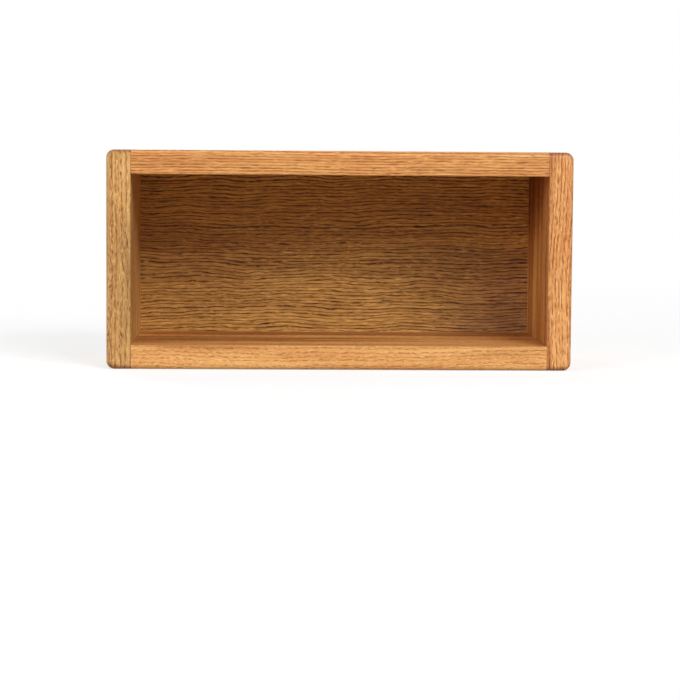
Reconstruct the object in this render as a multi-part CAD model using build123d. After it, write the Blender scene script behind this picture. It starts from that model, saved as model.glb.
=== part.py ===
from build123d import *
import math
import os

# A CD storage cabinet with an open front, made of solid oak, in millimetres.
# Two upright sides run the full height. The top and the bottom board butt between them and are
# held by blind dowels. A thin panel closes the back: it lies in a rebate that is routed round
# the inside of the rear edges, and flat brads hold it there.
# The open front faces -Y. The origin is on the underside, at the middle of the plan.

# The box
width = 365.1
depth = 152.4
height = 171.45
board_thickness = 19.05

# Edges
corner_radius = 6.35    # outer corners of the sides, seen from the front
front_rim_radius = 4.0  # round-over that runs all round the outside of the front
rear_rim_radius = 1.6   # eased edges all round the outside of the rear
seam_bevel = 0.25       # broken edges of a board's end, which leave a fine groove at the seam
mouth_bevel = 0.6       # arrises round the front opening

# Back panel and its rebate
panel_thickness = 6.35
panel_recess = 0.4      # how far the panel lies inside the rear edges
panel_clearance = 0.3   # between the panel's edge and the rebate's wall
rebate_width = 9.525    # ledge that the panel lies on
bearing_diameter = 12.7 # guide bearing of the rebate cutter, which sets the corner radius

# Dowels, which lie along X across the seams
dowel_diameter = 9.525
dowel_length = 38.1
dowel_cover = 5.55      # wood left between a hole's end and the outer face of the side
dowel_chamfer = 1.2
dowel_clearance = 0.1   # round the dowel in its hole
dowel_glue_gap = 0.8    # beyond each end of the dowel
dowel_edge_distance = 28.0  # from the front or rear edge to the nearest dowel's axis
flute_count = 12
flute_depth = 0.5
flute_width = 1.0

# Brads, cut from flat wire and driven from behind into the ledge
brad_width = 1.25
brad_thickness = 1.0
brad_length = 19.0
brad_point = 1.5        # length of the chisel point
brad_head_width = 1.9
brad_head_thickness = 0.6
brad_sink = 0.6         # how far a head lies below the panel's rear face
brad_clearance = 0.05
brad_corner_distance = 30.0  # from a corner of the opening to the nearest brad
long_edge_brad_count = 4
short_edge_brad_count = 2

# Worked out from the values above
opening_width = width - 2 * board_thickness
opening_height = height - 2 * board_thickness
middle_z = height / 2
front_y = -depth / 2
rear_y = depth / 2
panel_rear_y = rear_y - panel_recess
ledge_y = panel_rear_y - panel_thickness
rebate_corner_radius = bearing_diameter / 2 + rebate_width
flute_pitch = 360 / flute_count


def facing_front(y):
    """The plane across the cabinet at a place on Y, centred at mid-height, with its normal to -Y."""
    return Plane(origin=(0, y, middle_z), x_dir=(1, 0, 0), z_dir=(0, -1, 0))


def spread(half_length, count):
    """Places from -half_length to +half_length at even steps."""
    step = 2 * half_length / (count - 1)
    return [-half_length + step * i for i in range(count)]


def end_edges(solid, axis):
    """The edges round the two faces at the ends of a solid along an axis."""
    faces = solid.faces().sort_by(axis)
    return faces[0].edges() + faces[-1].edges()


# Where the dowels and the brads go

rows = {"front": front_y + dowel_edge_distance, "middle": 0, "rear": rear_y - dowel_edge_distance}
seam_z = {"top": height - board_thickness / 2, "bottom": board_thickness / 2}
outwards = {"left": -1, "right": 1}

line_x = opening_width / 2 + rebate_width / 2
line_z = opening_height / 2 + rebate_width / 2
along_x = spread(opening_width / 2 - brad_corner_distance, long_edge_brad_count)
along_z = spread(opening_height / 2 - brad_corner_distance, short_edge_brad_count)
brad_y = panel_rear_y - brad_sink


def brad_plane(x, z, across):
    """The plane that a brad's outline is drawn on: its x runs along the panel's edge, its y to the rear."""
    return Plane(origin=(x, brad_y, middle_z + z), x_dir=across, z_dir=Vector(across).cross(Vector(0, 1, 0)))


brad_planes = {
    "top": [brad_plane(x, line_z, (1, 0, 0)) for x in along_x],
    "bottom": [brad_plane(x, -line_z, (1, 0, 0)) for x in along_x],
    "left": [brad_plane(-line_x, z, (0, 0, 1)) for z in along_z],
    "right": [brad_plane(line_x, z, (0, 0, 1)) for z in along_z],
}


# Fastenings


def dowel_place(level, side, row):
    """The middle of one dowel."""
    outer_end = width / 2 - dowel_cover - dowel_glue_gap
    return Pos(outwards[side] * (outer_end - dowel_length / 2), rows[row], seam_z[level])


def across_dowel(corners):
    """A face across the X axis, whose corners, each a radius and an angle, repeat once for each flute."""
    points = []
    for i in range(flute_count):
        points += [Vector(radius, 0).rotate(Axis.Z, angle + i * flute_pitch) for radius, angle in corners]
    return Plane.YZ * make_face(Polyline(*points, close=True))


def dowel():
    """A dowel pin along X with chamfered ends, and straight flutes that let the glue out."""
    radius = dowel_diameter / 2
    land_start = math.degrees(math.asin(flute_width / 2 / radius))
    flute = [(radius - flute_depth, 0), (radius, land_start), (radius, flute_pitch - land_start)]
    fluted = extrude(across_dowel(flute), amount=dowel_length / 2, both=True)
    corner = [(radius / math.cos(math.radians(flute_pitch / 2)), 0)]
    blunt = extrude(across_dowel(corner), amount=dowel_length / 2, both=True)
    return fluted & chamfer(end_edges(blunt, Axis.X), dowel_chamfer)


def dowel_hole():
    """The hole for a dowel, along X, with room for glue at both ends."""
    section = Plane.YZ * Circle(dowel_diameter / 2 + dowel_clearance)
    return extrude(section, amount=dowel_length / 2 + dowel_glue_gap, both=True)


def brad_outline(grow, head_y):
    """A brad seen flat, from its point up to its head at head_y, wider by grow on each side."""
    half = [
        (brad_head_width / 2 + grow, head_y),
        (brad_head_width / 2 + grow, -brad_head_thickness),
        (brad_width / 2 + grow, -brad_head_thickness),
        (brad_width / 2 + grow, brad_point - brad_length),
    ]
    point = (0, -brad_length - grow)
    other_half = [(-x, y) for x, y in reversed(half)]
    return make_face(Polyline(*half, point, *other_half, close=True))


def brad(plane):
    """A flat-wire brad with a T head and a chisel point."""
    return extrude(plane * brad_outline(0, 0), amount=brad_thickness / 2, both=True)


def brad_hole(plane):
    """The slot that one brad makes, open above its sunk head."""
    outline = brad_outline(brad_clearance, brad_sink + panel_recess)
    return extrude(plane * outline, amount=brad_thickness / 2 + brad_clearance, both=True)


spots = [(level, side, row) for level in seam_z for side in outwards for row in rows]
dowel_places = {"_".join(spot): dowel_place(*spot) for spot in spots}


# What is done to the assembled box, and so runs across its seams


def box_form():
    """The outside of the whole box, with its corners rounded and its front and rear rims rounded over."""
    form = extrude(facing_front(rear_y) * RectangleRounded(width, height, corner_radius), amount=depth)
    form = fillet(form.faces().sort_by(Axis.Y)[0].edges(), front_rim_radius)
    return fillet(form.faces().sort_by(Axis.Y)[-1].edges(), rear_rim_radius)


def panel_blank(inset, from_y, to_y):
    """The rebate's outline, drawn in by an inset, as a slab between two places on Y."""
    outline = RectangleRounded(
        opening_width + 2 * (rebate_width - inset),
        opening_height + 2 * (rebate_width - inset),
        rebate_corner_radius - inset,
    )
    return extrude(facing_front(to_y) * outline, amount=to_y - from_y)


def mouth_cut():
    """The wedge all round that bevels the front arrises of the opening."""
    wide = Rectangle(opening_width + 2 * mouth_bevel, opening_height + 2 * mouth_bevel)
    narrow = Rectangle(opening_width, opening_height)
    return loft([facing_front(front_y) * wide, facing_front(front_y + mouth_bevel) * narrow])


dowel_holes = [place * dowel_hole() for place in dowel_places.values()]
brad_holes = [brad_hole(plane) for planes in brad_planes.values() for plane in planes]
outside = box_form()
rebate = panel_blank(0, ledge_y, rear_y)
mouth = mouth_cut()


# Boards


def side_board():
    """The right side, which runs the full height."""
    board = Pos((width - board_thickness) / 2, 0, middle_z) * Box(board_thickness, depth, height)
    return (board & outside).cut(rebate, mouth, *dowel_holes, *brad_holes)


def long_board():
    """The top board, cut square at its ends."""
    board = Pos(0, 0, seam_z["top"]) * Box(opening_width, depth, board_thickness)
    board = board & outside
    board = chamfer(end_edges(board, Axis.X), seam_bevel)
    return board.cut(rebate, mouth, *dowel_holes, *brad_holes)


def back_panel():
    """The thin panel, smaller than its rebate by the clearance all round."""
    return panel_blank(panel_clearance, ledge_y, panel_rear_y).cut(*brad_holes)


right_side = side_board()
top_board = long_board()
pieces = {
    "left_side": mirror(right_side, Plane.YZ),
    "right_side": right_side,
    "top_board": top_board,
    "bottom_board": mirror(top_board, Plane.XY.offset(middle_z)),
    "back_panel": back_panel(),
}
for spot_name, place in dowel_places.items():
    pieces[f"dowel_{spot_name}"] = place * dowel()
for edge, planes in brad_planes.items():
    pieces[f"brads_{edge}"] = Compound([brad(plane) for plane in planes])

os.makedirs("parts", exist_ok=True)
for name, piece in pieces.items():
    export_step(piece, f"parts/{name}.step")
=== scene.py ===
import math

import bpy
import numpy as np
from mathutils import Euler, Matrix, Vector


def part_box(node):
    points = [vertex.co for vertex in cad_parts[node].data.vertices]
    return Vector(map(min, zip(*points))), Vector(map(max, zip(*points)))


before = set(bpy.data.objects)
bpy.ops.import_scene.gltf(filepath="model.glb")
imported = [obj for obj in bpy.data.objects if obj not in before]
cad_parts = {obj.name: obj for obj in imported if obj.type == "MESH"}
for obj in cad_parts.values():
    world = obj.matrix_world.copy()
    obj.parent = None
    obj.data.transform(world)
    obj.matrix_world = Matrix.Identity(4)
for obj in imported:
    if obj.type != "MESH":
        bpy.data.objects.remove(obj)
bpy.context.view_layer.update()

# Looks for an open-fronted oak cabinet: solid oak boards under a satin clear finish.
# Metres; the open front faces -Y and the floor is z = 0.

print("cabinet loaded:", len(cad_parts), "solids")


# Node helpers. A value is a number, a tuple or another node's output.

def feed(tree, socket, value):
    if isinstance(value, bpy.types.NodeSocket):
        tree.links.new(value, socket)
    else:
        socket.default_value = value


def addNode(tree, kind, values=None, **settings):
    node = tree.nodes.new("ShaderNode" + kind)
    for key, setting in settings.items():
        setattr(node, key, setting)
    for key, value in (values or {}).items():
        feed(tree, node.inputs[key], value)
    return node


def calc(tree, operation, *terms):
    return addNode(tree, "Math", dict(enumerate(terms)), operation=operation).outputs[0]


def times(tree, value, *others):
    for other in others:
        value = calc(tree, "MULTIPLY", value, other)
    return value


def vectorCalc(tree, operation, *terms):
    node = addNode(tree, "VectorMath", dict(enumerate(terms)), operation=operation)
    return node.outputs["Value" if operation in ("LENGTH", "DOT_PRODUCT") else "Vector"]


def scaled(tree, vector, amount):
    return addNode(tree, "VectorMath", {0: vector, "Scale": amount}, operation="SCALE").outputs[0]


def split(tree, vector):
    return addNode(tree, "SeparateXYZ", {0: vector}).outputs


def join(tree, x, y, z):
    return addNode(tree, "CombineXYZ", {"X": x, "Y": y, "Z": z}).outputs[0]


# A smooth step from toLow, at low, to toHigh, at high.
def step(tree, value, low, high, toLow=0.0, toHigh=1.0):
    bounds = {"Value": value, "From Min": low, "From Max": high, "To Min": toLow, "To Max": toHigh}
    return addNode(tree, "MapRange", bounds, interpolation_type="SMOOTHSTEP").outputs["Result"]


def mixColor(tree, amount, under, over, blend="MIX"):
    node = addNode(tree, "Mix", {0: amount, 6: under, 7: over}, data_type="RGBA", blend_type=blend)
    return node.outputs[2]


# Noise with so many cells to the metre along each axis.
def noise(tree, place, cells, detail=2.0, roughness=0.5, output="Fac"):
    cellPlace = vectorCalc(tree, "MULTIPLY", place, cells)
    values = {"Vector": cellPlace, "Scale": 1.0, "Detail": detail, "Roughness": roughness}
    return addNode(tree, "TexNoise", values).outputs[output]


def bumped(tree, height, strength, depth):
    values = {"Strength": strength, "Distance": depth, "Height": height}
    return addNode(tree, "Bump", values).outputs[0]


def startGroup(name, inputs, outputs):
    tree = bpy.data.node_groups.new(name, "ShaderNodeTree")
    for side, names in (("INPUT", inputs), ("OUTPUT", outputs)):
        for socketName, kind in names.items():
            tree.interface.new_socket(socketName, in_out=side, socket_type="NodeSocket" + kind)
    return tree, tree.nodes.new("NodeGroupInput").outputs, tree.nodes.new("NodeGroupOutput").inputs


def useGroup(tree, group, values):
    node = tree.nodes.new("ShaderNodeGroup")
    node.node_tree = group
    for key, value in values.items():
        feed(tree, node.inputs[key], value)
    return node.outputs


# A screen colour, 0 to 255, as the linear colour that a shader takes. Over 255 it lightens what it
# multiplies.
def tone(red, green, blue):
    parts = [c / 255 for c in (red, green, blue)]
    return tuple(c / 12.92 if c <= 0.04045 else ((c + 0.055) / 1.055) ** 2.4 for c in parts) + (1.0,)


# Wood patterns. Place is measured from a board's middle: X along the grain, Y across its width and
# Z through its thickness. They are solid patterns, so a board's end shows end grain.

ringForm = dict(
    slowDetail=1.0, quickDetail=2.0, quickRoughness=0.6, yearRate=0.8, yearDetail=1.0, unevenness=0.7,
    nextBand=0.92,
)


# Growth rings: the distance from the pith line, bent by slow and quick noise and counted in ring
# widths. Early is the porous band that starts each ring; Grain is the place along the grain, round
# the rings and out from the pith, which pores and rays follow.
def makeRings(form):
    tree, given, out = startGroup(
        "growthRings",
        {"Place": "Vector", "Pith": "Vector", "Ring Width": "Float", "Wander": "Float", "Ripple": "Float",
         "Wander Cells": "Vector", "Ripple Cells": "Vector", "Seed": "Float", "Early Share": "Float"},
        {"Early": "Float", "Grain": "Vector"},
    )
    place = vectorCalc(tree, "ADD", given["Place"], join(tree, given["Seed"], given["Seed"], 0.0))
    slow = noise(tree, place, given["Wander Cells"], form["slowDetail"], output="Color")
    slow = vectorCalc(tree, "SUBTRACT", slow, (0.5, 0.5, 0.5))
    bent = vectorCalc(tree, "ADD", given["Place"], scaled(tree, slow, given["Wander"]))
    outwards = vectorCalc(tree, "MULTIPLY", vectorCalc(tree, "SUBTRACT", bent, given["Pith"]), (0, 1, 1))
    quick = noise(tree, place, given["Ripple Cells"], form["quickDetail"], form["quickRoughness"])
    quick = calc(tree, "SUBTRACT", quick, 0.5)
    radius = calc(tree, "MULTIPLY_ADD", quick, given["Ripple"], vectorCalc(tree, "LENGTH", outwards))

    # Years of uneven width
    count = calc(tree, "DIVIDE", radius, given["Ring Width"])
    year = calc(tree, "ADD", count, given["Seed"])
    values = {"W": year, "Scale": form["yearRate"], "Detail": form["yearDetail"]}
    uneven = addNode(tree, "TexNoise", values, noise_dimensions="1D").outputs["Fac"]
    part = calc(tree, "FRACT", calc(tree, "MULTIPLY_ADD", uneven, form["unevenness"], count))
    fading = step(tree, part, 0, given["Early Share"], 1, 0)
    feed(tree, out["Early"], calc(tree, "MAXIMUM", fading, step(tree, part, form["nextBand"], 1)))

    # The way round the rings: the angle at the pith times the pith's distance
    toMiddle = scaled(tree, given["Pith"], -1.0)
    turned = split(tree, vectorCalc(tree, "CROSS_PRODUCT", toMiddle, outwards))["X"]
    angle = calc(tree, "ARCTAN2", turned, vectorCalc(tree, "DOT_PRODUCT", toMiddle, outwards))
    around = calc(tree, "MULTIPLY", angle, vectorCalc(tree, "LENGTH", given["Pith"]))
    along = calc(tree, "ADD", split(tree, bent)["X"], given["Seed"])
    feed(tree, out["Grain"], join(tree, along, around, radius))
    return tree


poreForm = dict(dash=(0.2, 0.52), shallowest=0.45)


# Pores cut along the grain: long cells, of which the share from Least to Most that the mask asks
# for is open. A cell's middle is a tapered dash of its own depth.
def makePores(form):
    tree, given, out = startGroup(
        "openPores",
        {"Grain": "Vector", "Length": "Float", "Width": "Float", "Mask": "Float", "Least": "Float",
         "Most": "Float"},
        {"Pore": "Float"},
    )
    size = join(tree, given["Length"], given["Width"], given["Width"])
    place = vectorCalc(tree, "DIVIDE", given["Grain"], size)
    cells = addNode(tree, "TexVoronoi", {"Vector": place, "Scale": 1.0}).outputs
    chance = addNode(tree, "SeparateColor", {0: cells["Color"]}).outputs
    spare = calc(tree, "SUBTRACT", given["Most"], given["Least"])
    share = calc(tree, "MULTIPLY_ADD", given["Mask"], spare, given["Least"])
    dash = step(tree, cells["Distance"], *form["dash"], 1, 0)
    depth = calc(tree, "MULTIPLY_ADD", chance[1], 1 - form["shallowest"], form["shallowest"])
    feed(tree, out["Pore"], times(tree, dash, depth, calc(tree, "LESS_THAN", chance[0], share)))
    return tree


rayForm = dict(cells=(95, 1500, 75), plate=(0.2, 0.45))


# Rays: thin plates that stand across the rings, short flecks on a face and fine lines on the end.
def makeRays(form):
    tree, given, out = startGroup("woodRays", {"Grain": "Vector", "Share": "Float"}, {"Ray": "Float"})
    place = vectorCalc(tree, "MULTIPLY", given["Grain"], form["cells"])
    cells = addNode(tree, "TexVoronoi", {"Vector": place, "Scale": 1.0}).outputs
    chance = addNode(tree, "SeparateColor", {0: cells["Color"]}).outputs
    plate = step(tree, cells["Distance"], *form["plate"], 1, 0)
    feed(tree, out["Ray"], times(tree, plate, calc(tree, "LESS_THAN", chance[2], given["Share"])))
    return tree


edgeForm = dict(rubCells=(140, 140, 140), rubDetail=3.0, fullEnd=0.8)


# A board's edges: the middle one of the three distances to its faces is the distance to an arris.
# Ends is where the surface faces along the grain, Seam the last bit before a butted end.
def makeEdges(form):
    tree, given, out = startGroup(
        "boardEdges",
        {"Place": "Vector", "Facing": "Vector", "Half Size": "Vector", "Arris Width": "Float",
         "Seam Width": "Float"},
        {"Arris": "Float", "Ends": "Float", "Seam": "Float"},
    )
    inside = vectorCalc(tree, "SUBTRACT", given["Half Size"], vectorCalc(tree, "ABSOLUTE", given["Place"]))
    x, y, z = split(tree, inside)
    least = calc(tree, "MINIMUM", calc(tree, "MINIMUM", x, y), z)
    most = calc(tree, "MAXIMUM", calc(tree, "MAXIMUM", x, y), z)
    total = calc(tree, "ADD", calc(tree, "ADD", x, y), z)
    middle = calc(tree, "SUBTRACT", calc(tree, "SUBTRACT", total, least), most)
    rubbed = calc(tree, "SUBTRACT", noise(tree, given["Place"], form["rubCells"], form["rubDetail"]), 0.5)
    middle = calc(tree, "MULTIPLY_ADD", rubbed, given["Arris Width"], middle)
    feed(tree, out["Arris"], step(tree, middle, 0, given["Arris Width"], 1, 0))
    facing = split(tree, vectorCalc(tree, "ABSOLUTE", given["Facing"]))["X"]
    ends = addNode(tree, "MapRange", {"Value": facing, "From Max": form["fullEnd"]})
    feed(tree, out["Ends"], ends.outputs["Result"])
    feed(tree, out["Seam"], step(tree, x, 0, given["Seam Width"], 1, 0))
    return tree


patchForm = dict(fade=(0.2, 1.1), cloudDetail=3.0)


# A soft patch of wood tone, painted shade or painted light: an ellipsoid round its middle, broken up by
# cloudy noise.
def makePatch(form):
    tree, given, out = startGroup(
        "toneAndPaintedLightPatch",
        {"Place": "Vector", "Middle": "Vector", "Reach": "Vector", "Cloud Cells": "Vector", "Cloud": "Float"},
        {"Patch": "Float"},
    )
    away = vectorCalc(tree, "SUBTRACT", given["Place"], given["Middle"])
    away = vectorCalc(tree, "LENGTH", vectorCalc(tree, "DIVIDE", away, given["Reach"]))
    cloud = noise(tree, given["Place"], given["Cloud Cells"], form["cloudDetail"])
    cloud = calc(tree, "SUBTRACT", cloud, 0.5)
    reached = calc(tree, "MULTIPLY_ADD", cloud, given["Cloud"], away)
    feed(tree, out["Patch"], step(tree, reached, *form["fade"], 1, 0))
    return tree


ringGroup = makeRings(ringForm)
poreGroup = makePores(poreForm)
rayGroup = makeRays(rayForm)
edgeGroup = makeEdges(edgeForm)
patchGroup = makePatch(patchForm)
print("wood patterns ready")


# The oak. turn brings a board's grain to X, and pith is where the tree's middle lies, seen from the
# board's middle. Rings are ringWidth wide, bent slowly by wander and quickly by ripple.
# Tones: light and streak are latewood, dark the porous band, pale the short flecks, pore the open
# vessels. band, cloud, fleck, ray, bundle, vessel, arris and ends say how strongly each shows.
# A bundle is a row of pores and a vessel a single one: size is (length, width), and share how many
# are open (outside, inside the band). Breaks interrupt the band, and seam is how far the dark line
# at a butted end reaches. Cells are noise cells to the metre, a detail is (detail, roughness) of
# that noise, and a span is where a step starts and ends.
# A patch is a soft area of another tone round its middle, which its own cloud breaks up. Some are wood
# tones, others painted shade or painted light, as the comment at each one says.

quarter = math.pi / 2
sideCut = dict(turn=(0, quarter, 0))
longCut = dict(turn=(0, 0, 0), seam=0.0006)
panelCut = dict(turn=(quarter, 0, 0), earlyShare=0.4)

oak = dict(
    seam=0.0, earlyShare=0.5, wanderCells=(7, 17, 17),
    streakCells=(10, 260, 260), streakDetail=(4.0, 0.62), streakSpan=(0.32, 0.66),
    cloudDetail=(3.0, 0.55), cloudSpan=(0.35, 0.75),
    breakCells=(80, 1100, 500), breakDetail=(3.0, 0.5), breakSpan=(0.36, 0.6),
    fleckDetail=(3.0, 0.65), paleSpan=(0.3, 0.48), darkSpan=(0.52, 0.76), bandFlecks=0.1,
    fibreCells=(120, 2600, 2600), fibreDetail=(2.0, 0.5), fibreSpan=(0.3, 0.7), fibre=0.3,
    fibreHeight=0.12, vesselSize=(0.006, 0.0005), vesselShare=(0.12, 0.75), rayShare=0.3, ray=0.2,
    arrisWidth=0.001, arris=0.15, seamDark=0.7, endTone=(180, 154, 118), ends=0.9,
    roughness=(0.45, 0.75), gloss=0.32, coat=0.1, coatRoughness=0.25, bump=0.35, depth=0.0002,
)
patchLook = dict(blend="MULTIPLY", cloudCells=(30, 160, 160), cloud=0.7)

boards = {
    "left_side": dict(
        sideCut, pith=(0, 0.035, -0.16), seed=3.1,
        ringWidth=0.0034, wander=0.008, ripple=0.0026, rippleCells=(65, 170, 170),
        pale=(252, 222, 158), light=(242, 198, 128), streak=(218, 166, 102),
        dark=(160, 106, 58), pore=(104, 58, 32),
        band=0.65, cloud=0.5, cloudCells=(5, 60, 60), fleck=0.6, fleckCells=(210, 1500, 620),
        bundle=0.85, bundleSize=(0.0042, 0.0012), bundleShare=(0.05, 0.6), vessel=0.75,
        patches=(
            # Painted shadow: greyer and darker over the inner half of the front face and the inner face near
            # the front.
            dict(middle=(-0.012, -0.06, -0.0095), reach=(0.085, 0.1, 0.017), tone=(178, 168, 158),
                 strength=0.6),
        ),
    ),
    "right_side": dict(
        sideCut, pith=(0, 0.04, 0.24), seed=8.4,
        ringWidth=0.0026, wander=0.009, ripple=0.0018, rippleCells=(55, 190, 190),
        pale=(252, 226, 174), light=(248, 192, 122), streak=(232, 162, 97),
        dark=(178, 98, 47), pore=(112, 48, 18),
        band=0.78, cloud=0.5, cloudCells=(6, 60, 60), fleck=0.7, fleckCells=(160, 1700, 900),
        bundle=0.85, bundleSize=(0.008, 0.00085), bundleShare=(0.05, 0.8), vessel=0.75,
        patches=(
            # Painted light: a lighter, golden area on the inner face, a little below mid-height.
            dict(middle=(-0.02, 0.01, 0.0095), reach=(0.08, 0.085, 0.008), tone=(255, 200, 112),
                 strength=0.6, blend="MIX", cloudCells=(5, 55, 55), cloud=2.2),
            # Painted shade: the inner face darker and browner towards its top, under the top board.
            dict(middle=(0.08, 0.02, 0.0095), reach=(0.08, 0.12, 0.008), tone=(160, 112, 26),
                 strength=1.0, cloudCells=(6, 60, 60), cloud=0.9),
            dict(middle=(0, 0, 0.0147), reach=(0.4, 0.4, 0.008), tone=(200, 168, 136),
                 strength=0.9, cloudCells=(3, 70, 70), cloud=5.0),
        ),
    ),
    "top_board": dict(
        longCut, pith=(0, 0, 0.3), seed=5.7,
        ringWidth=0.0022, wander=0.005, ripple=0.001, rippleCells=(45, 180, 180),
        pale=(246, 204, 134), light=(231, 174, 104), streak=(214, 147, 81),
        dark=(156, 88, 41), pore=(104, 50, 22),
        band=0.75, cloud=0.4, cloudCells=(5, 60, 60), fleck=0.6, fleckCells=(110, 1900, 1100),
        bundle=0.75, bundleSize=(0.011, 0.0009), bundleShare=(0.05, 0.75), vessel=0.7,
        breakCells=(55, 1100, 500), breakSpan=(0.3, 0.56), patches=(),
    ),
    "bottom_board": dict(
        longCut, pith=(0, 0.03, -0.28), seed=1.9,
        ringWidth=0.003, wander=0.014, ripple=0.0036, rippleCells=(120, 190, 190),
        pale=(255, 222, 158), light=(252, 198, 128), streak=(236, 174, 108),
        dark=(190, 120, 62), pore=(132, 72, 34),
        band=0.58, cloud=0.4, cloudCells=(5, 60, 60), fleck=0.5, fleckCells=(260, 1700, 900),
        bundle=0.5, bundleSize=(0.0034, 0.001), bundleShare=(0.05, 0.65), vessel=0.5,
        patches=(
            # Painted shade: the top face darker towards the back, most to the left of the middle.
            dict(middle=(-0.07, 0.085, 0.0095), reach=(0.26, 0.17, 0.014), tone=(232, 226, 220),
                 strength=1.0, cloudCells=(3.5, 55, 55), cloud=2.4),
            dict(middle=(0, 0.045, 0.0142), reach=(0.6, 0.2, 0.008), tone=(184, 154, 124),
                 strength=0.9, cloudCells=(3, 70, 70), cloud=5.0),
        ),
    ),
    "back_panel": dict(
        panelCut, pith=(0, -0.33, 0.05), seed=6.6,
        ringWidth=0.0028, wander=0.011, wanderCells=(14, 24, 24), ripple=0.003, rippleCells=(50, 190, 190),
        pale=(252, 208, 130), light=(218, 173, 98), streak=(192, 146, 76),
        dark=(104, 60, 33), pore=(46, 20, 12),
        band=0.95, cloud=0.3, cloudCells=(4, 45, 45), fleck=0.7, fleckCells=(85, 1300, 1300),
        bundle=0.95, bundleSize=(0.022, 0.0008), bundleShare=(0.05, 0.95), vessel=0.9,
        breakCells=(40, 500, 500), breakSpan=(0.2, 0.5), gloss=0.2, coat=0.04,
        patches=(
            dict(middle=(0.17, 0.045, -0.0032), reach=(0.09, 0.07, 0.0035), tone=(158, 116, 92),
                 strength=0.32, blend="COLOR", cloudCells=(12, 220, 220), cloud=1.6),
            # Painted shade: bluer and darker in the bottom corner beside the right side.
            dict(middle=(0.16, 0.064, -0.0032), reach=(0.07, 0.025, 0.0035), tone=(222, 224, 240),
                 strength=0.7, cloudCells=(14, 400, 400), cloud=1.8),
            # Painted shadow: greyer and darker right of the middle, a little below half height.
            dict(middle=(0.095, 0.02, -0.0032), reach=(0.075, 0.065, 0.0035), tone=(186, 176, 172),
                 strength=0.45, cloudCells=(12, 300, 300), cloud=1.8),
            # Painted light: the upper right strip beside the right side lighter than the wood.
            dict(middle=(0.165, -0.055, -0.0032), reach=(0.075, 0.06, 0.0035), tone=(282, 280, 278),
                 strength=1.0, cloudCells=(4, 45, 45), cloud=0.3),
            # Painted shade: warmer and less blue along the top of the front face, under the top board.
            dict(middle=(0, -0.07, -0.0032), reach=(0.6, 0.09, 0.0035), tone=(255, 250, 206),
                 strength=1.0, cloudCells=(4, 45, 45), cloud=0.3),
            dict(middle=(0, 0, 0.005), reach=(1.0, 1.0, 0.006), tone=(255, 236, 212), strength=1.0),
        ),
    ),
}


# A material with nothing but a Principled shader on its output.
def startMaterial(name):
    material = bpy.data.materials.new(name)
    material.use_nodes = True
    tree = material.node_tree
    tree.nodes.clear()
    shader = addNode(tree, "BsdfPrincipled")
    addNode(tree, "OutputMaterial", {"Surface": shader.outputs[0]})
    return material, tree, shader


# Puts a material on a CAD solid and leaves its mesh as it is.
def dress(name, material):
    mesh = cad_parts[name].data
    mesh.materials.clear()
    mesh.materials.append(material)


# A board's middle and half its size, turned so that its grain runs along X.
def measure(name, turn):
    low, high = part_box(name)
    turned = Euler(turn).to_matrix()
    return turned @ (low + high) / 2, [abs(part) for part in turned @ (high - low) / 2]


# A place on the cabinet as a place on the board: turned, then moved by the board's middle. A normal
# is only turned.
def toBoard(tree, vector, turn, centre=(0, 0, 0)):
    mapping = {"Vector": vector, "Location": -Vector(centre), "Rotation": turn}
    return addNode(tree, "Mapping", mapping, vector_type="POINT").outputs[0]


def openPores(tree, grain, mask, size, share):
    return useGroup(tree, poreGroup, {
        "Grain": grain, "Length": size[0], "Width": size[1], "Mask": mask, "Least": share[0],
        "Most": share[1]})["Pore"]
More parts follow.
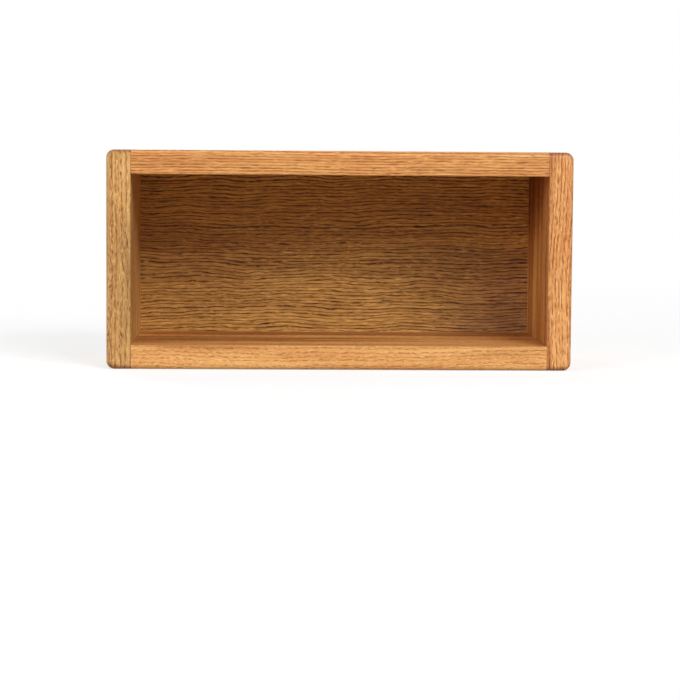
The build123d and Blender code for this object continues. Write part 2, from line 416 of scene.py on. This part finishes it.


# Oak: latewood, then the porous bands, flecks, rays and pores laid over it one by one, then the
# fibres, the soft patches of wood tone, painted shade and painted light, and the tones of the ends, arrises
# and seams.
def makeOak(name, look):
    material, tree, shader = startMaterial(name + "_oak")
    centre, halfSize = measure(name, look["turn"])
    coords = addNode(tree, "TexCoord").outputs
    place = toBoard(tree, coords["Object"], look["turn"], centre)
    facing = toBoard(tree, coords["Normal"], look["turn"])

    rings = useGroup(tree, ringGroup, {
        "Place": place, "Pith": look["pith"], "Ring Width": look["ringWidth"], "Wander": look["wander"],
        "Ripple": look["ripple"], "Wander Cells": look["wanderCells"], "Ripple Cells": look["rippleCells"],
        "Seed": look["seed"], "Early Share": look["earlyShare"]})
    grain, early = rings["Grain"], rings["Early"]
    bundles = openPores(tree, grain, early, look["bundleSize"], look["bundleShare"])
    vessels = openPores(tree, grain, early, look["vesselSize"], look["vesselShare"])
    rays = useGroup(tree, rayGroup, {"Grain": grain, "Share": look["rayShare"]})["Ray"]
    edges = useGroup(tree, edgeGroup, {
        "Place": place, "Facing": facing, "Half Size": halfSize, "Arris Width": look["arrisWidth"],
        "Seam Width": look["seam"]})
    streaks = noise(tree, grain, look["streakCells"], *look["streakDetail"])
    clouds = noise(tree, grain, look["cloudCells"], *look["cloudDetail"])
    breaks = noise(tree, grain, look["breakCells"], *look["breakDetail"])
    flecks = noise(tree, grain, look["fleckCells"], *look["fleckDetail"])
    fibres = noise(tree, grain, look["fibreCells"], *look["fibreDetail"])
    inBand = calc(tree, "MULTIPLY_ADD", early, look["bandFlecks"], flecks)

    # Each layer: where it lies, how strong it is and its tone
    tones = {key: tone(*look[key]) for key in ("pale", "light", "streak", "dark", "pore")}
    layers = (
        (step(tree, streaks, *look["streakSpan"]), 1.0, "streak"),
        (step(tree, clouds, *look["cloudSpan"]), look["cloud"], "dark"),
        (times(tree, early, step(tree, breaks, *look["breakSpan"])), look["band"], "dark"),
        (step(tree, flecks, *look["paleSpan"], 1, 0), look["fleck"], "pale"),
        (step(tree, inBand, *look["darkSpan"]), look["fleck"], "pore"),
        (rays, look["ray"], "streak"),
        (bundles, look["bundle"], "pore"),
        (vessels, look["vessel"], "pore"),
    )
    color = tones["light"]
    for mask, strength, over in layers:
        color = mixColor(tree, times(tree, mask, strength), color, tones[over])
    fibreTone = mixColor(tree, step(tree, fibres, *look["fibreSpan"]), tones["dark"], tones["light"])
    color = mixColor(tree, look["fibre"], color, fibreTone, "SOFT_LIGHT")

    for patch in look["patches"]:
        patch = dict(patchLook, **patch)
        mask = useGroup(tree, patchGroup, {
            "Place": place, "Middle": patch["middle"], "Reach": patch["reach"],
            "Cloud Cells": patch["cloudCells"], "Cloud": patch["cloud"]})["Patch"]
        mask = times(tree, mask, patch["strength"])
        color = mixColor(tree, mask, color, tone(*patch["tone"]), patch["blend"])
    ends = times(tree, edges["Ends"], look["ends"])
    color = mixColor(tree, ends, color, tone(*look["endTone"]), "MULTIPLY")
    color = mixColor(tree, times(tree, edges["Arris"], look["arris"]), color, tones["light"])
    if look["seam"]:
        color = mixColor(tree, times(tree, edges["Seam"], look["seamDark"]), color, tones["pore"])
    feed(tree, shader.inputs["Base Color"], color)

    openness = calc(tree, "MAXIMUM", bundles, vessels)
    feed(tree, shader.inputs["Roughness"], step(tree, openness, 0, 1, *look["roughness"]))
    feed(tree, shader.inputs["Specular IOR Level"], look["gloss"])
    feed(tree, shader.inputs["Coat Weight"], look["coat"])
    feed(tree, shader.inputs["Coat Roughness"], look["coatRoughness"])
    height = calc(tree, "MULTIPLY_ADD", fibres, look["fibreHeight"], times(tree, openness, -1.0))
    feed(tree, shader.inputs["Normal"], bumped(tree, height, look["bump"], look["depth"]))
    return material


for name, board in boards.items():
    dress(name, makeOak(name, dict(oak, **board)))
print("oak boards done:", ", ".join(boards))


# Beech dowels, hidden in the seams: plain and pale, with short dark flecks.

dowelLook = dict(
    light=(226, 190, 142), streak=(200, 156, 108), lineCells=(25, 700, 700), lineDetail=3.0,
    lineSpan=(0.3, 0.7), fleckTone=(160, 112, 72), fleck=0.6, fleckSize=(0.0022, 0.0003),
    fleckShare=(0.2, 0.5), roughSpan=(0.2, 0.8), roughness=(0.55, 0.7), bump=0.25, depth=0.0001,
)


# Beech: fine lines along the dowel between two tones, and flecks over them.
def makeBeech(look):
    material, tree, shader = startMaterial("dowel_beech")
    place = addNode(tree, "TexCoord").outputs["Object"]
    lines = noise(tree, place, look["lineCells"], look["lineDetail"])
    flecks = openPores(tree, place, lines, look["fleckSize"], look["fleckShare"])
    streaks = step(tree, lines, *look["lineSpan"])
    color = mixColor(tree, streaks, tone(*look["light"]), tone(*look["streak"]))
    color = mixColor(tree, times(tree, flecks, look["fleck"]), color, tone(*look["fleckTone"]))
    feed(tree, shader.inputs["Base Color"], color)
    feed(tree, shader.inputs["Roughness"], step(tree, lines, *look["roughSpan"], *look["roughness"]))
    feed(tree, shader.inputs["Normal"], bumped(tree, lines, look["bump"], look["depth"]))
    return material


# Drawn steel wire: fine lines along each brad, and blotches where the shine has gone.

bradLook = dict(
    bright=(196, 196, 194), dull=(128, 126, 122), blotchCells=(1200, 1200, 1200), blotchDetail=3.0,
    blotchSpan=(0.4, 0.75), lineCells=(9000, 300, 9000), roughSpan=(0.2, 0.8), roughness=(0.26, 0.48),
    bump=0.2, depth=0.00004,
)


# Steel: two tones mixed by the blotches, and a roughness that follows the lines.
def makeSteel(look):
    material, tree, shader = startMaterial("brad_steel")
    place = addNode(tree, "TexCoord").outputs["Object"]
    lines = noise(tree, place, look["lineCells"])
    blotches = noise(tree, place, look["blotchCells"], look["blotchDetail"])
    blotches = step(tree, blotches, *look["blotchSpan"])
    color = mixColor(tree, blotches, tone(*look["bright"]), tone(*look["dull"]))
    feed(tree, shader.inputs["Base Color"], color)
    feed(tree, shader.inputs["Metallic"], 1.0)
    feed(tree, shader.inputs["Roughness"], step(tree, lines, *look["roughSpan"], *look["roughness"]))
    feed(tree, shader.inputs["Normal"], bumped(tree, lines, look["bump"], look["depth"]))
    return material


beech, steel = makeBeech(dowelLook), makeSteel(bradLook)
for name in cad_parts:
    if name.startswith("dowel_"):
        dress(name, beech)
    elif name.startswith("brads_"):
        dress(name, steel)
print("dowels and brads done")


# The floor: a flat disc. It looks white, keeps the cabinet's shadow near the cabinet, and throws
# back less light than it seems to.

floorLook = dict(
    radius=7.0, drop=0.0002, rings=24, spokes=96, matte=0.46, mottle=0.02, mottleCells=(40, 40, 40),
    mottleDetail=3.0, mottleSpan=(0.3, 0.7), glow=0.66, shadowReach=(0.45, 1.3), throwback=0.4,
)


# 1 where the eye sees a surface, directly, in a gloss or through glass, and 0 where light only
# bounces off it.
def isSeen(tree):
    path = addNode(tree, "LightPath").outputs
    seen = calc(tree, "MAXIMUM", path["Is Camera Ray"], path["Is Glossy Ray"])
    return calc(tree, "MAXIMUM", seen, path["Is Transmission Ray"])


# Circles whose radius grows with the square of the ring's number, x = r cos a and y = r sin a,
# joined by quads, with a fan of triangles round the middle.
def makeFloor(look):
    rings, spokes = look["rings"], look["spokes"]
    radii = look["radius"] * (np.arange(1, rings + 1) / rings) ** 2
    r, a = np.meshgrid(radii, np.arange(spokes) * 2 * np.pi / spokes, indexing="ij")
    points = np.stack([r * np.cos(a), r * np.sin(a), np.full_like(r, -look["drop"])], -1).reshape(-1, 3)
    points = np.vstack([points, [0, 0, -look["drop"]]])
    i, j = np.meshgrid(np.arange(rings - 1) * spokes, np.arange(spokes), indexing="ij")
    k = (j + 1) % spokes
    quads = np.stack([i + j, i + spokes + j, i + spokes + k, i + k], -1).reshape(-1, 4)
    spoke = np.arange(spokes)
    fan = np.stack([np.full(spokes, rings * spokes), spoke, (spoke + 1) % spokes], -1)
    mesh = bpy.data.meshes.new("floor")
    mesh.from_pydata(points.tolist(), [], quads.tolist() + fan.tolist())
    floor = bpy.data.objects.new("floor", mesh)
    bpy.context.scene.collection.objects.link(floor)
    return floor


# Paper: a matte grey that takes the shadow near the cabinet and fades to a plain glow further out.
def makeFloorPaper(look):
    material, tree, shader = startMaterial("floor_paper")
    place = addNode(tree, "TexCoord").outputs["Object"]
    near = step(tree, vectorCalc(tree, "LENGTH", place), *look["shadowReach"], 1, 0)
    mottle = noise(tree, place, look["mottleCells"], look["mottleDetail"])
    matte = step(tree, mottle, *look["mottleSpan"], look["matte"], look["matte"] - look["mottle"])
    grey = addNode(tree, "CombineColor", {0: matte, 1: matte, 2: matte}).outputs[0]
    throwback = (look["throwback"],) * 3 + (1,)
    seen = isSeen(tree)
    color = mixColor(tree, seen, throwback, mixColor(tree, near, (0, 0, 0, 1), grey))
    glow = calc(tree, "MULTIPLY_ADD", times(tree, seen, near), look["glow"] - 1.0, seen)
    feed(tree, shader.inputs["Base Color"], color)
    feed(tree, shader.inputs["Roughness"], 1.0)
    feed(tree, shader.inputs["Specular IOR Level"], 0.0)
    feed(tree, shader.inputs["Emission Color"], (1, 1, 1, 1))
    feed(tree, shader.inputs["Emission Strength"], glow)
    return material


floor = makeFloor(floorLook)
floor.data.materials.append(makeFloorPaper(floorLook))


# Soft boxes, with the key from the upper right, and a plain white sky.

lamps = {
    "keyLamp": dict(at=(1.0, -2.0, 1.45), size=(1.2, 1.0), power=46.0),
    "fillLamp": dict(at=(-1.5, -1.7, 1.0), size=(1.2, 1.0), power=17.0),
    "backLamp": dict(at=(-0.6, 2.0, 1.3), size=(1.6, 1.2), power=16.0),
}
lampAim = Vector((0, 0, 0.08))
skyLight = 0.24


# A rectangle of light that faces lampAim. size is in metres and power in watts.
def makeLamp(name, look):
    light = bpy.data.lights.new(name, "AREA")
    light.shape = "RECTANGLE"
    light.size, light.size_y = look["size"]
    light.energy = look["power"]
    lamp = bpy.data.objects.new(name, light)
    spot = Vector(look["at"])
    facing = (lampAim - spot).to_track_quat("-Z", "Y").to_matrix().to_4x4()
    lamp.matrix_world = Matrix.Translation(spot) @ facing
    lamp.visible_camera = False
    bpy.context.scene.collection.objects.link(lamp)


# White to the eye, and skyLight as a lamp.
def makeSky(level):
    world = bpy.data.worlds.new("studio")
    world.use_nodes = True
    tree = world.node_tree
    tree.nodes.clear()
    strength = calc(tree, "MULTIPLY_ADD", isSeen(tree), 1.0 - level, level)
    sky = addNode(tree, "Background", {"Color": (1, 1, 1, 1), "Strength": strength})
    addNode(tree, "OutputWorld", {"Surface": sky.outputs[0]})
    bpy.context.scene.world = world


for name, look in lamps.items():
    makeLamp(name, look)
makeSky(skyLight)
bpy.context.scene.view_settings.view_transform = "Standard"
print("floor, lamps and sky done")


# The camera: turned right by yaw, tipped by pitch, then rolled about its view line, in degrees.
# lens is in millimetres.

cameraLook = dict(at=(-0.058, -1.9062, 0.1724), pitch=-4.886, yaw=1.83, roll=0.42, lens=120.5)


def makeCamera(look):
    data = bpy.data.cameras.new("camera")
    data.lens = look["lens"]
    camera = bpy.data.objects.new("camera", data)
    turn = Matrix.Rotation(-math.radians(look["yaw"]), 4, "Z")
    tip = Matrix.Rotation(math.radians(90 + look["pitch"]), 4, "X")
    roll = Matrix.Rotation(math.radians(look["roll"]), 4, "Z")
    camera.matrix_world = Matrix.Translation(look["at"]) @ turn @ tip @ roll
    bpy.context.scene.collection.objects.link(camera)
    return camera


bpy.context.scene.camera = makeCamera(cameraLook)
print("camera done")
